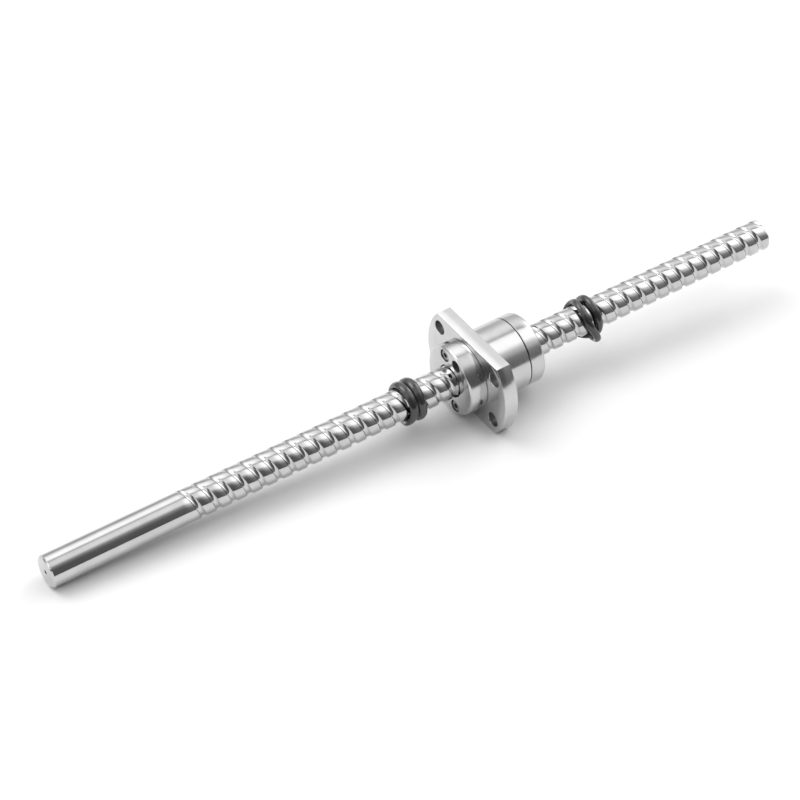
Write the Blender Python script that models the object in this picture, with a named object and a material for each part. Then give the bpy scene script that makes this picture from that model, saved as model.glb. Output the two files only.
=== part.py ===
"""Miniature ball screw assembly: a two-start screw carrying a flanged nut with bolted end caps.

+X runs along the screw from the smooth journal to the threaded end, and the flats of the nut's
flange face +Z and -Z. The origin is on the screw's axis, half way along it. Everything is in metres.
Angles about the axis are measured from +Y towards +Z.
"""
import math

import bmesh
import bpy
from mathutils import Matrix, Vector

MM = 0.001
TURN = 2 * math.pi
QUARTER = math.pi / 2
ON_PLANE = 0.001 * MM               # points this near a plane count as lying on it
SHARP_EDGE = math.radians(35)       # edges sharper than this are not shaded smooth

# Screw
SCREW_LENGTH = 250 * MM
SCREW_RADIUS = 4.85 * MM
STARTS = 2
LEAD = 10 * MM
GROOVE_PITCH = LEAD / STARTS
GROOVE_X0 = 1.53 * MM               # a groove crosses the +Y side of the screw here
JOURNAL_END = -83.2 * MM            # the grooves begin to run in here
RUN_IN = 3.3 * MM
RUN_IN_WIDTH = 0.4                  # share of the full groove width where it begins to run in
END_CHAMFER = 0.6 * MM
CENTRE_HOLE_RADIUS = 0.65 * MM
CENTRE_HOLE_DEPTH = 2.5 * MM
THREAD_SEGMENTS = 16                # facets in one turn of the screw
GROOVE_FACETS = 4

# Ball track
BALL_SOLID_RADIUS = 0.96 * MM       # a 2 mm ball, a little small so its facets clear the track's
BALL_CIRCLE = 5.3 * MM
TRACK_RADIUS = 1.12 * MM
BALLS_PER_CIRCUIT = 18
RETURN_RADIUS = 8.0 * MM            # the return holes lie on this circle
RETURN_ANGLE = math.radians(20)     # first start's return hole; the second is opposite
FRONT_OVERRUN = 0.4                 # radians of groove the balls follow past the body's front face
REAR_OVERRUN = 0.6
RISE_SHARE = 0.6                    # how much of the groove's slope the way out to the return hole keeps
CORNER_REACH = 2.8 * MM
CORNER_STEPS = 5
TRACK_SIDES = 3                     # bevel resolution of the track cutter: ten sides
TRACK_SEGMENTS = 20

# Nut
NUT_RADIUS = 10.95 * MM
FLANGE_FRONT = 14.1 * MM
FLANGE_THICKNESS = 4.6 * MM
FLANGE_RADIUS = 19.5 * MM
FLANGE_HALF_WIDTH = 12.66 * MM
BODY_END = 29.75 * MM
BORE_RADIUS = 5.55 * MM
BOLT_HALF_Y = 13.6 * MM
BOLT_HALF_Z = 7.82 * MM
BOLT_HOLE_RADIUS = 2.25 * MM
FLANGE_ARC_STEPS = 12
EDGE_BREAK = 0.4 * MM
OVERSHOOT = 1 * MM                  # how far a cutter stands out of the face it cuts
JOINT_GAP = 0.3 * MM                # clear gap between pieces that rest on each other

# End caps, wipers and the ring between the body and the rear cap
FRONT_CAP_START = 8.3 * MM
FRONT_CAP_END = FLANGE_FRONT - JOINT_GAP
REAR_CAP_START = BODY_END + JOINT_GAP
REAR_CAP_END = 35.0 * MM
CAP_BORE_RADIUS = 5.15 * MM
JOINT_EDGE = 0.15 * MM              # chamfer where a cap meets the body
BORE_EDGE = 0.2 * MM
CAP_CHAMFER = 0.6 * MM
REAR_CHAMFER = 0.9 * MM
WIPER_BORE_RADIUS = 4.95 * MM
WIPER_RADIUS = 5.95 * MM
WIPER_SEAT_RADIUS = 6.15 * MM
WIPER_LENGTH = 1.0 * MM
FRONT_WIPER_X = 9.9 * MM            # middle of the wiper's length
REAR_WIPER_X = 33.7 * MM
SEAL_RADIUS = 10.25 * MM            # the ring sits in a groove in the rear cap's joint face
SEAL_BORE_RADIUS = 9.85 * MM
SEAL_LENGTH = 0.5 * MM
SEAL_GROOVE_RADIUS = 10.45 * MM
SEAL_GROOVE_BORE_RADIUS = 9.65 * MM
SEAL_GROOVE_DEPTH = 0.9 * MM
SEAL_X = REAR_CAP_START + SEAL_GROOVE_DEPTH / 2

# Cap screws
SCREW_CIRCLE = 8.35 * MM
SCREW_ANGLES = (math.radians(70), math.radians(250))
PLAIN_HOLE_ANGLES = (math.radians(110), math.radians(290))
SHANK_RADIUS = 1.0 * MM
SHANK_HOLE_RADIUS = 1.25 * MM
TAPPED_DEPTH = 4.2 * MM
HEAD_RADIUS = 1.75 * MM
HEAD_LENGTH = 1.7 * MM
HEAD_CHAMFER = 0.15 * MM
TIP_CHAMFER = 0.2 * MM
SOCKET_RADIUS = 0.87 * MM           # across corners of a 1.5 mm key socket, halved
SOCKET_DEPTH = 0.9 * MM
COUNTERBORE_RADIUS = 1.95 * MM
COUNTERBORE_DEPTH = 2.3 * MM
FRONT_SCREW_LENGTH = 6.5 * MM
REAR_SCREW_LENGTH = 5.2 * MM
PLAIN_HOLE_RADIUS = 1.85 * MM
PLAIN_HOLE_DEPTH = 1.8 * MM

# Rubber bands
BAND_SECTION = 0.85 * MM            # radius of the strand
BAND_SEAT = 5.8 * MM                # radius of the strand's centre line round the screw
BAND_LIFT = 1.95 * MM               # where one loop crosses over the other
BAND_LIFT_WIDTH = math.radians(39)
BAND_STEPS = 52
BAND_SIDES = 2                      # bevel resolution of the strand: eight sides

STEEL = ((0.62, 0.62, 0.63), 0.22, 1.0)
GROUND_STEEL = ((0.56, 0.56, 0.57), 0.32, 1.0)
BALL_STEEL = ((0.75, 0.75, 0.76), 0.08, 1.0)
DARK_STEEL = ((0.12, 0.12, 0.125), 0.4, 1.0)
FELT = ((0.06, 0.06, 0.06), 0.9, 0.0)
RUBBER = ((0.035, 0.035, 0.037), 0.5, 0.0)


def clear_scene():
    for item in list(bpy.data.objects):
        bpy.data.objects.remove(item, do_unlink=True)


def new_collection(name):
    collection = bpy.data.collections.new(name)
    bpy.context.scene.collection.children.link(collection)
    return collection


def material(name, look):
    colour, roughness, metallic = look
    result = bpy.data.materials.new(name)
    result.use_nodes = True
    shader = result.node_tree.nodes["Principled BSDF"]
    shader.inputs["Base Color"].default_value = (*colour, 1)
    shader.inputs["Roughness"].default_value = roughness
    shader.inputs["Metallic"].default_value = metallic
    return result


def add_object(name, mesh, look, parent=None):
    """A part: a smooth shaded object with its own material, in the parts collection."""
    item = bpy.data.objects.new(name, mesh)
    PARTS.objects.link(item)
    item.parent = parent
    mesh.materials.append(material(name, look))
    mesh.shade_smooth()
    mesh.set_sharp_from_angle(angle=SHARP_EDGE)
    return item


def add_cutter(name, mesh):
    item = bpy.data.objects.new(name, mesh)
    CUTTERS.objects.link(item)
    item.hide_render = True
    item.display_type = "WIRE"
    return item


def mesh_from(name, bm):
    mesh = bpy.data.meshes.new(name)
    bmesh.ops.recalc_face_normals(bm, faces=bm.faces)
    bm.to_mesh(mesh)
    bm.free()
    return mesh


def cut(item, cutter):
    boolean = item.modifiers.new(cutter.name, "BOOLEAN")
    boolean.operation = "DIFFERENCE"
    boolean.solver = "EXACT"
    boolean.object = cutter


def polar(x, radius, angle):
    return Vector((x, radius * math.cos(angle), radius * math.sin(angle)))


def cylinder_mesh(name, x0, x1, radius, y=0.0, z=0.0, sides=24):
    """A round bar along X from x0 to x1."""
    bm = bmesh.new()
    place = Matrix.Translation(((x0 + x1) / 2, y, z)) @ Matrix.Rotation(QUARTER, 4, "Y")
    bmesh.ops.create_cone(
        bm, cap_ends=True, segments=sides, radius1=radius, radius2=radius, depth=x1 - x0, matrix=place
    )
    return mesh_from(name, bm)


def turned_mesh(name, profile, sides=40):
    """A closed profile of (x, radius) points spun about the X axis."""
    bm = bmesh.new()
    rings = []
    for step in range(sides):
        angle = TURN * step / sides
        rings.append([bm.verts.new(polar(x, radius, angle)) for x, radius in profile])
    count = len(profile)
    for step in range(sides):
        ring, following = rings[step], rings[(step + 1) % sides]
        for k in range(count):
            after = (k + 1) % count
            bm.faces.new((ring[k], following[k], following[after], ring[after]))
    return mesh_from(name, bm)


def bar_mesh(name, rings, sides=40):
    """A solid turned about X: rings of (x, radius) from one end to the other, closed by flat ends."""
    bm = bmesh.new()
    loops = []
    for x, radius in rings:
        loops.append([bm.verts.new(polar(x, radius, TURN * k / sides)) for k in range(sides)])
    join_loops(bm, loops)
    return mesh_from(name, bm)


def join_loops(bm, loops):
    """Skin a row of closed loops that have the same number of points, and close both ends."""
    for loop, following in zip(loops, loops[1:]):
        for k in range(len(loop)):
            after = (k + 1) % len(loop)
            bm.faces.new((loop[k], loop[after], following[after], following[k]))
    bm.faces.new(loops[0])
    bm.faces.new(loops[-1])


def tube_mesh(name, points, radius, bevel_resolution):
    """A round tube along a closed line of points."""
    curve = bpy.data.curves.new(name, "CURVE")
    curve.dimensions = "3D"
    curve.bevel_depth = radius
    curve.bevel_resolution = bevel_resolution
    spline = curve.splines.new("POLY")
    spline.points.add(len(points) - 1)
    for target, point in zip(spline.points, points):
        target.co = (*point, 1)
    spline.use_cyclic_u = True
    holder = bpy.data.objects.new(name, curve)
    CUTTERS.objects.link(holder)
    graph = bpy.context.evaluated_depsgraph_get()
    mesh = bpy.data.meshes.new_from_object(holder.evaluated_get(graph))
    bpy.data.objects.remove(holder, do_unlink=True)
    bm = bmesh.new()
    bm.from_mesh(mesh)
    bmesh.ops.remove_doubles(bm, verts=bm.verts, dist=ON_PLANE)
    bpy.data.meshes.remove(mesh)
    return mesh_from(name, bm)


def smooth_step(value):
    value = min(1.0, max(0.0, value))
    return value * value * (3 - 2 * value)


def groove_profile():
    """(offset along X, depth) of one groove's points, from its left edge to its right edge."""
    lead_slope = math.atan(LEAD / (TURN * BALL_CIRCLE))
    half_angle = math.acos((BALL_CIRCLE - SCREW_RADIUS) / TRACK_RADIUS)
    points = []
    for k in range(GROOVE_FACETS + 1):
        angle = half_angle * (2 * k / GROOVE_FACETS - 1)
        offset = TRACK_RADIUS * math.sin(angle) / math.cos(lead_slope)
        depth = SCREW_RADIUS - (BALL_CIRCLE - TRACK_RADIUS * math.cos(angle))
        points.append((offset, max(0.0, depth)))
    return points


def screw_bmesh():
    """The grooved surface as strips that follow the helix, then cut square and closed at both ends."""
    columns = []
    for start in range(STARTS):
        for offset, depth in groove_profile():
            columns.append((start * GROOVE_PITCH, offset, depth))
    first_x = GROOVE_X0 + GROOVE_PITCH * math.floor((JOURNAL_END - LEAD - GROOVE_X0) / GROOVE_PITCH)
    turns = math.ceil((SCREW_LENGTH / 2 - first_x) / LEAD) + 1
    steps = turns * THREAD_SEGMENTS

    bm = bmesh.new()
    rows = []
    for i in range(steps + 1):
        angle = TURN * i / THREAD_SEGMENTS
        row = []
        for start_x, offset, depth in columns:
            centre = first_x + start_x + LEAD * i / THREAD_SEGMENTS
            fade = smooth_step((centre - JOURNAL_END) / RUN_IN)
            x = centre + offset * (RUN_IN_WIDTH + (1 - RUN_IN_WIDTH) * fade)
            row.append(bm.verts.new(polar(x, SCREW_RADIUS - depth * fade, angle)))
        rows.append(row)
    for i in range(steps):
        row, following = rows[i], rows[i + 1]
        for k in range(len(columns) - 1):
            bm.faces.new((row[k], row[k + 1], following[k + 1], following[k]))
        if i + 1 + THREAD_SEGMENTS <= steps:
            turn_on, turn_on_next = rows[i + THREAD_SEGMENTS], rows[i + 1 + THREAD_SEGMENTS]
            bm.faces.new((row[-1], turn_on[0], turn_on_next[0], following[-1]))

    journal_end = square_end(bm, JOURNAL_END, -1)
    extend_end(bm, journal_end, -SCREW_LENGTH / 2 + END_CHAMFER, -SCREW_LENGTH / 2)
    thread_end = square_end(bm, SCREW_LENGTH / 2, 1)
    bmesh.ops.edgeloop_fill(bm, edges=thread_end)
    return bm


def square_end(bm, x, side):
    """Cut the open tube square at x, throw away the side it points to, and return the rim's edges."""
    everything = list(bm.verts) + list(bm.edges) + list(bm.faces)
    bmesh.ops.bisect_plane(
        bm, geom=everything, dist=ON_PLANE / 10, plane_co=(x, 0, 0), plane_no=(side, 0, 0), clear_outer=True
    )
    rim = []
    for edge in bm.edges:
        if edge.is_boundary and all(abs(vert.co.x - x) < ON_PLANE for vert in edge.verts):
            rim.append(edge)
    return rim


def extend_end(bm, rim, shoulder_x, end_x):
    """Run a rim straight to shoulder_x, chamfer it to end_x and close it."""
    for x, radius in ((shoulder_x, SCREW_RADIUS), (end_x, SCREW_RADIUS - END_CHAMFER)):
        grown = bmesh.ops.extrude_edge_only(bm, edges=rim)["geom"]
        for vert in (g for g in grown if isinstance(g, bmesh.types.BMVert)):
            scale = radius / SCREW_RADIUS
            vert.co = (x, vert.co.y * scale, vert.co.z * scale)
        rim = [g for g in grown if isinstance(g, bmesh.types.BMEdge) and g.is_boundary]
    bmesh.ops.edgeloop_fill(bm, edges=rim)


def build_screw():
    shaft = add_object("screw_shaft", mesh_from("screw_shaft", screw_bmesh()), GROUND_STEEL)
    end = -SCREW_LENGTH / 2
    drill_end = end + CENTRE_HOLE_DEPTH
    rings = (
        (end - OVERSHOOT, CENTRE_HOLE_RADIUS), (drill_end - CENTRE_HOLE_RADIUS, CENTRE_HOLE_RADIUS),
        (drill_end, 0.1 * CENTRE_HOLE_RADIUS),
    )
    cut(shaft, add_cutter("centre_hole_cut", bar_mesh("centre_hole_cut", rings, 12)))


def helix_angle(x, start):
    """Angle of a start's groove centre at x."""
    return TURN * (x - GROOVE_X0 - start * GROOVE_PITCH) / LEAD


def circuit_points(start):
    """One ball circuit as a closed line: along the groove, out to the return hole, and back."""
    return_angle = RETURN_ANGLE + start * math.pi
    lift = math.acos(BALL_CIRCLE / RETURN_RADIUS)
    # The groove angle at each end, moved by whole turns to the place nearest the nut's end face.
    front = nearest_turn(return_angle + lift, helix_angle(FLANGE_FRONT, start) - FRONT_OVERRUN)
    rear = nearest_turn(return_angle - lift, helix_angle(BODY_END, start) + REAR_OVERRUN)
    steps = math.ceil((rear - front) / TURN * TRACK_SEGMENTS)
    points = []
    for k in range(steps + 1):
        angle = front + (rear - front) * k / steps
        points.append(polar(helix_x(angle, start), BALL_CIRCLE, angle))
    rise = RISE_SHARE * LEAD / (TURN * BALL_CIRCLE) * RETURN_RADIUS * math.sin(lift)
    rear_turn = polar(points[-1].x + rise, RETURN_RADIUS, rear + lift)
    front_turn = polar(points[0].x - rise, RETURN_RADIUS, front - lift)
    points += corner(points[-1], rear_turn, Vector((front_turn.x, rear_turn.y, rear_turn.z)))
    points += corner(points[-1], front_turn, points[0])
    return points


def corner(before, middle, after):
    """Points that round the corner at middle."""
    first = middle + (before - middle).normalized() * CORNER_REACH
    last = middle + (after - middle).normalized() * CORNER_REACH
    result = []
    for k in range(CORNER_STEPS + 1):
        t = k / CORNER_STEPS
        result.append(first * (1 - t) ** 2 + middle * 2 * t * (1 - t) + last * t ** 2)
    return result


def helix_x(angle, start):
    return GROOVE_X0 + start * GROOVE_PITCH + LEAD * angle / TURN


def nearest_turn(angle, target):
    return angle + TURN * round((target - angle) / TURN)


def along(points, count):
    """That many points spaced evenly round a closed line."""
    closed = points + [points[0]]
    lengths = [0.0]
    for a, b in zip(closed, closed[1:]):
        lengths.append(lengths[-1] + (b - a).length)
    result = []
    k = 0
    for n in range(count):
        goal = lengths[-1] * n / count
        while lengths[k + 1] < goal:
            k += 1
        t = (goal - lengths[k]) / (lengths[k + 1] - lengths[k])
        result.append(closed[k].lerp(closed[k + 1], t))
    return result


def build_balls(circuits, pivot):
    bm = bmesh.new()
    bmesh.ops.create_icosphere(bm, subdivisions=2, radius=BALL_SOLID_RADIUS)
    mesh = mesh_from("ball", bm)
    for start, points in enumerate(circuits):
        for n, place in enumerate(along(points, BALLS_PER_CIRCUIT)):
            name = f"ball_{'ab'[start]}{n + 1:02d}"
            ball = add_object(name, mesh.copy(), BALL_STEEL, pivot)
            ball.location = place


def flange_mesh():
    """The nut's flange: a disc with two flats and broken edges."""
    back = FLANGE_FRONT + FLANGE_THICKNESS
    sections = (
        (FLANGE_FRONT, EDGE_BREAK), (FLANGE_FRONT + EDGE_BREAK, 0),
        (back - EDGE_BREAK, 0), (back, EDGE_BREAK),
    )
    bm = bmesh.new()
    loops = []
    for x, inset in sections:
        radius = FLANGE_RADIUS - inset
        reach = math.asin((FLANGE_HALF_WIDTH - inset) / radius)
        loop = []
        for side in (0, math.pi):
            for k in range(FLANGE_ARC_STEPS + 1):
                angle = side + reach * (2 * k / FLANGE_ARC_STEPS - 1)
                loop.append(bm.verts.new(polar(x, radius, angle)))
        loops.append(loop)
    join_loops(bm, loops)
    return mesh_from("nut_body", bm)


def build_nut(pivot):
    body = add_object("nut_body", flange_mesh(), STEEL, pivot)
    barrel_start = FLANGE_FRONT + FLANGE_THICKNESS / 2
    join = body.modifiers.new("barrel", "BOOLEAN")
    join.operation = "UNION"
    join.solver = "EXACT"
    join.object = add_cutter("nut_barrel", bar_mesh("nut_barrel", (
        (barrel_start, NUT_RADIUS), (BODY_END - JOINT_EDGE, NUT_RADIUS), (BODY_END, NUT_RADIUS - JOINT_EDGE),
    )))

    front, back = FLANGE_FRONT - OVERSHOOT, FLANGE_FRONT + FLANGE_THICKNESS + OVERSHOOT
    cut(body, add_cutter("bore_cut", cylinder_mesh(
        "bore_cut", front, BODY_END + OVERSHOOT, BORE_RADIUS, sides=40)))
    for cutter in CIRCUIT_CUTTERS:
        cut(body, cutter)
    for y in (-BOLT_HALF_Y, BOLT_HALF_Y):
        for z in (-BOLT_HALF_Z, BOLT_HALF_Z):
            name = f"bolt_hole_cut_{y / MM:.0f}_{z / MM:.0f}"
            cut(body, add_cutter(name, cylinder_mesh(name, front, back, BOLT_HOLE_RADIUS, y, z)))
    drill(body, SCREW_ANGLES, front, FLANGE_FRONT + TAPPED_DEPTH, SHANK_HOLE_RADIUS)
    drill(body, SCREW_ANGLES, BODY_END - TAPPED_DEPTH, BODY_END + OVERSHOOT, SHANK_HOLE_RADIUS)


def drill(item, angles, x0, x1, radius, sides=12):
    """Round holes along X on the screw circle."""
    for n, angle in enumerate(angles):
        y, z = SCREW_CIRCLE * math.cos(angle), SCREW_CIRCLE * math.sin(angle)
        name = f"{item.name}_hole_{x0 / MM:.1f}_{radius / MM:.2f}_{n}"
        cut(item, add_cutter(name, cylinder_mesh(name, x0, x1, radius, y, z, sides)))


def build_front_cap(pivot):
    a, b = FRONT_CAP_START, FRONT_CAP_END
    cap = add_object("front_end_cap", turned_mesh("front_end_cap", (
        (a, CAP_BORE_RADIUS + BORE_EDGE), (a, NUT_RADIUS - CAP_CHAMFER), (a + CAP_CHAMFER, NUT_RADIUS),
        (b - JOINT_EDGE, NUT_RADIUS), (b, NUT_RADIUS - JOINT_EDGE), (b, CAP_BORE_RADIUS),
        *wiper_seat(FRONT_WIPER_X), (a + BORE_EDGE, CAP_BORE_RADIUS),
    )), STEEL, pivot)
    for cutter in CIRCUIT_CUTTERS:
        cut(cap, cutter)
    drill(cap, SCREW_ANGLES, a - OVERSHOOT, b + OVERSHOOT, SHANK_HOLE_RADIUS)
    drill(cap, SCREW_ANGLES, a - OVERSHOOT, a + COUNTERBORE_DEPTH, COUNTERBORE_RADIUS, 20)
    drill(cap, PLAIN_HOLE_ANGLES, a - OVERSHOOT, a + PLAIN_HOLE_DEPTH, PLAIN_HOLE_RADIUS, 20)


def build_rear_cap(pivot):
    a, b = REAR_CAP_START, REAR_CAP_END
    cap = add_object("rear_end_cap", turned_mesh("rear_end_cap", (
        (a, CAP_BORE_RADIUS), (a, SEAL_GROOVE_BORE_RADIUS), (a + SEAL_GROOVE_DEPTH, SEAL_GROOVE_BORE_RADIUS),
        (a + SEAL_GROOVE_DEPTH, SEAL_GROOVE_RADIUS), (a, SEAL_GROOVE_RADIUS),
        (a, NUT_RADIUS - JOINT_EDGE), (a + JOINT_EDGE, NUT_RADIUS),
        (b - REAR_CHAMFER, NUT_RADIUS), (b - 0.3 * REAR_CHAMFER, NUT_RADIUS - 0.3 * REAR_CHAMFER),
        (b, NUT_RADIUS - REAR_CHAMFER), (b, CAP_BORE_RADIUS + BORE_EDGE),
        (b - BORE_EDGE, CAP_BORE_RADIUS), *wiper_seat(REAR_WIPER_X),
    )), STEEL, pivot)
    for cutter in CIRCUIT_CUTTERS:
        cut(cap, cutter)
    drill(cap, SCREW_ANGLES, a - OVERSHOOT, b + OVERSHOOT, SHANK_HOLE_RADIUS)
    drill(cap, SCREW_ANGLES, b - COUNTERBORE_DEPTH, b + OVERSHOOT, COUNTERBORE_RADIUS, 20)


def wiper_seat(x):
    """The groove round a cap's bore that holds its wiper, from its far wall to its near wall."""
    half = WIPER_LENGTH / 2 + JOINT_GAP
    return (
        (x + half, CAP_BORE_RADIUS), (x + half, WIPER_SEAT_RADIUS),
        (x - half, WIPER_SEAT_RADIUS), (x - half, CAP_BORE_RADIUS),
    )


def build_ring(name, x, length, inner, outer, look, pivot):
    half = length / 2
    profile = ((x - half, inner), (x - half, outer), (x + half, outer), (x + half, inner))
    add_object(name, turned_mesh(name, profile, 30), look, pivot)


def cap_screw_mesh(name, length):
    """A socket head cap screw whose head's underside is at x = 0, with its shank along +X."""
    rings = (
        (-HEAD_LENGTH, HEAD_RADIUS - HEAD_CHAMFER), (-HEAD_LENGTH + HEAD_CHAMFER, HEAD_RADIUS),
        (0, HEAD_RADIUS), (0, SHANK_RADIUS), (length - TIP_CHAMFER, SHANK_RADIUS),
        (length, SHANK_RADIUS - TIP_CHAMFER),
    )
    return bar_mesh(name, rings, 12)


def build_cap_screws(prefix, seat_x, backwards, length, pivot):
    """Two cap screws with their heads' undersides at seat_x; backwards points the shanks along -X."""
    for n, angle in enumerate(SCREW_ANGLES):
        name = f"{prefix}_{n + 1}"
        item = add_object(name, cap_screw_mesh(name, length), DARK_STEEL, pivot)
        item.location = polar(seat_x, SCREW_CIRCLE, angle)
        if backwards:
            item.rotation_euler = (0, 0, math.pi)
        socket = add_cutter(f"{name}_socket", cylinder_mesh(
            f"{name}_socket", -HEAD_LENGTH - OVERSHOOT, -HEAD_LENGTH + SOCKET_DEPTH, SOCKET_RADIUS, sides=6))
        socket.parent = item
        cut(item, socket)


def band_points(centre, spread, over, under):
    """A rubber band wound twice round the screw: two loops side by side that cross once.

    over and under give the degrees at which each pass leaves its side and reaches the other.
    """
    cross = math.radians(sum(over + under) / 4)
    points = []
    for k in range(BAND_STEPS):
        turn = 2 * TURN * k / BAND_STEPS
        first = turn < TURN
        angle = cross - math.pi + turn - (0 if first else TURN)
        start, end = (math.radians(value) for value in (over if first else under))
        side = (2 * smooth_step((angle - start) / (end - start)) - 1) * (1 if first else -1)
        lift = BAND_LIFT * math.exp(-((angle - cross) / BAND_LIFT_WIDTH) ** 2) if first else 0
        points.append(polar(centre + spread * side, BAND_SEAT + lift, angle))
    return points


def build_band(name, points):
    add_object(name, tube_mesh(name, points, BAND_SECTION, BAND_SIDES), RUBBER)


clear_scene()
PARTS = new_collection("ball_screw_assembly")
CUTTERS = new_collection("cutters")

nut_pivot = bpy.data.objects.new("nut_axis", None)
PARTS.objects.link(nut_pivot)

CIRCUITS = [circuit_points(start) for start in range(STARTS)]
CIRCUIT_CUTTERS = []
for start, points in enumerate(CIRCUITS):
    name = f"circuit_cut_{start}"
    CIRCUIT_CUTTERS.append(add_cutter(name, tube_mesh(name, points, TRACK_RADIUS, TRACK_SIDES)))

build_screw()
build_nut(nut_pivot)
build_front_cap(nut_pivot)
build_rear_cap(nut_pivot)
build_ring("body_seal_ring", SEAL_X, SEAL_LENGTH, SEAL_BORE_RADIUS, SEAL_RADIUS, RUBBER, nut_pivot)
build_ring("front_wiper", FRONT_WIPER_X, WIPER_LENGTH, WIPER_BORE_RADIUS, WIPER_RADIUS, FELT, nut_pivot)
build_ring("rear_wiper", REAR_WIPER_X, WIPER_LENGTH, WIPER_BORE_RADIUS, WIPER_RADIUS, FELT, nut_pivot)
build_cap_screws("front_cap_screw", FRONT_CAP_START + COUNTERBORE_DEPTH - JOINT_GAP, False,
                 FRONT_SCREW_LENGTH, nut_pivot)
build_cap_screws("rear_cap_screw", REAR_CAP_END - COUNTERBORE_DEPTH + JOINT_GAP, True,
                 REAR_SCREW_LENGTH, nut_pivot)
build_balls(CIRCUITS, nut_pivot)
build_band("left_band", band_points(-6.45 * MM, 1.46 * MM, (255, 345), (255, 345)))
build_band("right_band", band_points(56.65 * MM, 2.2 * MM, (140, 245), (200, 300)))
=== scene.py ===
import math

import bmesh
import bpy
from mathutils import Matrix, Vector


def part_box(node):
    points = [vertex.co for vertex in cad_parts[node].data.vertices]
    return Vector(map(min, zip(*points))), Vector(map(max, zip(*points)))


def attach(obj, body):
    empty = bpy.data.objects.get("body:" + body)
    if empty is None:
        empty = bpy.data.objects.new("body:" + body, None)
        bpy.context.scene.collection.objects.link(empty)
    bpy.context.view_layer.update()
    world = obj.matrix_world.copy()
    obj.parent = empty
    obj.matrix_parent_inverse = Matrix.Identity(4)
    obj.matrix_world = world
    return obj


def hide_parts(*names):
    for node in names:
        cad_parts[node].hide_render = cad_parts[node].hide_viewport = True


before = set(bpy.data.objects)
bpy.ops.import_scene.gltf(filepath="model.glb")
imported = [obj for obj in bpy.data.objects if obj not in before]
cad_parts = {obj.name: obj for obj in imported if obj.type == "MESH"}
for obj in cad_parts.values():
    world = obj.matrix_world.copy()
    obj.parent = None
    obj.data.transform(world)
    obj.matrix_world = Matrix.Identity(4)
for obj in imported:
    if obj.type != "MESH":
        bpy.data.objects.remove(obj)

MM = 0.001
TURN = 2 * math.pi

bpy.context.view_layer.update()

# ---------------------------------------------------------------- driving sizes
# Angles about the screw's axis are measured from +Y towards +Z.
LEAD = 10 * MM
STARTS = 2
GROOVE_PITCH = LEAD / STARTS
GROOVE_X0 = 1.53 * MM
JOURNAL_END = -83.2 * MM
RUN_IN = 3.3 * MM                    # length over which a groove grows to its full depth
RUN_IN_WIDTH = 0.4                   # share of a groove's full width where it begins
CENTRE_HOLE_RADIUS = 0.65 * MM
SCREW_END_CHAMFER = 0.45 * MM
BALL_RADIUS = 1.0 * MM
BALL_CIRCLE = 5.3 * MM
GROOVE_RADIUS = 1.04 * MM
GROOVE_EDGE = 0.07 * MM
RETURN_RADIUS = 8.0 * MM
RETURN_ANGLE = math.radians(20)
CIRCUIT_CLEARANCE = 0.04 * MM        # the nut's tracks are this much larger than the screw's grooves
FRONT_OVERRUN = 0.4                  # radians of groove that the balls follow past the body's front face
REAR_OVERRUN = 0.6
RISE_SHARE = 0.6                     # how much of the groove's slope the way out to the return hole keeps
CORNER_REACH = 2.8 * MM

BORE_RADIUS = 5.55 * MM
CAP_BORE_RADIUS = 5.15 * MM
BOLT_HALF_Y = 13.6 * MM
BOLT_HALF_Z = 7.82 * MM
BOLT_HOLE_RADIUS = 2.25 * MM
FLANGE_THICKNESS = 4.6 * MM
FLANGE_EDGE = 0.2 * MM
SCREW_CIRCLE = 8.35 * MM
CAP_SCREW_ANGLES = (math.radians(70), math.radians(250))
PLAIN_HOLE_ANGLES = (math.radians(110), math.radians(290))
SHANK_RADIUS = 1.0 * MM
THREAD_PITCH = 0.4 * MM
THREAD_DEPTH = 0.18 * MM
TAPPED_CLEARANCE = 0.05 * MM
SHANK_CLEARANCE = 0.15 * MM
TAPPED_DEPTH = 4.2 * MM
HEAD_RADIUS = 1.75 * MM
HEAD_LENGTH = 1.7 * MM
SOCKET_RADIUS = 0.87 * MM            # across corners, halved
SOCKET_DEPTH = 0.95 * MM
COUNTERBORE_RADIUS = 1.95 * MM
COUNTERBORE_DEPTH = 2.3 * MM
PLAIN_HOLE_DEPTH = 1.8 * MM
PLAIN_HOLE_RADIUS = 1.85 * MM

EDGE = 0.1 * MM                      # small edge breaks and clearances
ROUND = 144                          # facets round the large turned pieces


# ---------------------------------------------------------------- mesh helpers
def polar(x, radius, angle):
    return Vector((x, radius * math.cos(angle), radius * math.sin(angle)))


def smooth_step(value):
    value = min(1.0, max(0.0, value))
    return value * value * (3 - 2 * value)


def to_mesh(name, bm):
    mesh = bpy.data.meshes.new(name)
    bmesh.ops.recalc_face_normals(bm, faces=bm.faces)
    bm.to_mesh(mesh)
    bm.free()
    return mesh


def link(name, mesh):
    item = bpy.data.objects.new(name, mesh)
    bpy.context.scene.collection.objects.link(item)
    return item


def join_loops(bm, loops, closed_ends=True):
    for loop, following in zip(loops, loops[1:]):
        for k in range(len(loop)):
            after = (k + 1) % len(loop)
            bm.faces.new((loop[k], loop[after], following[after], following[k]))
    if closed_ends:
        bm.faces.new(loops[0])
        bm.faces.new(loops[-1])


def bar_mesh(name, rings, sides=ROUND, centre=(0.0, 0.0), turn=0.0):
    """A solid bar along X: rings of (x, radius), closed by flat ends, about an axis through centre."""
    bm = bmesh.new()
    shift = Vector((0, *centre))
    loops = []
    for x, radius in rings:
        ring = (polar(x, radius, turn + TURN * k / sides) + shift for k in range(sides))
        loops.append([bm.verts.new(point) for point in ring])
    join_loops(bm, loops)
    return to_mesh(name, bm)


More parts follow.
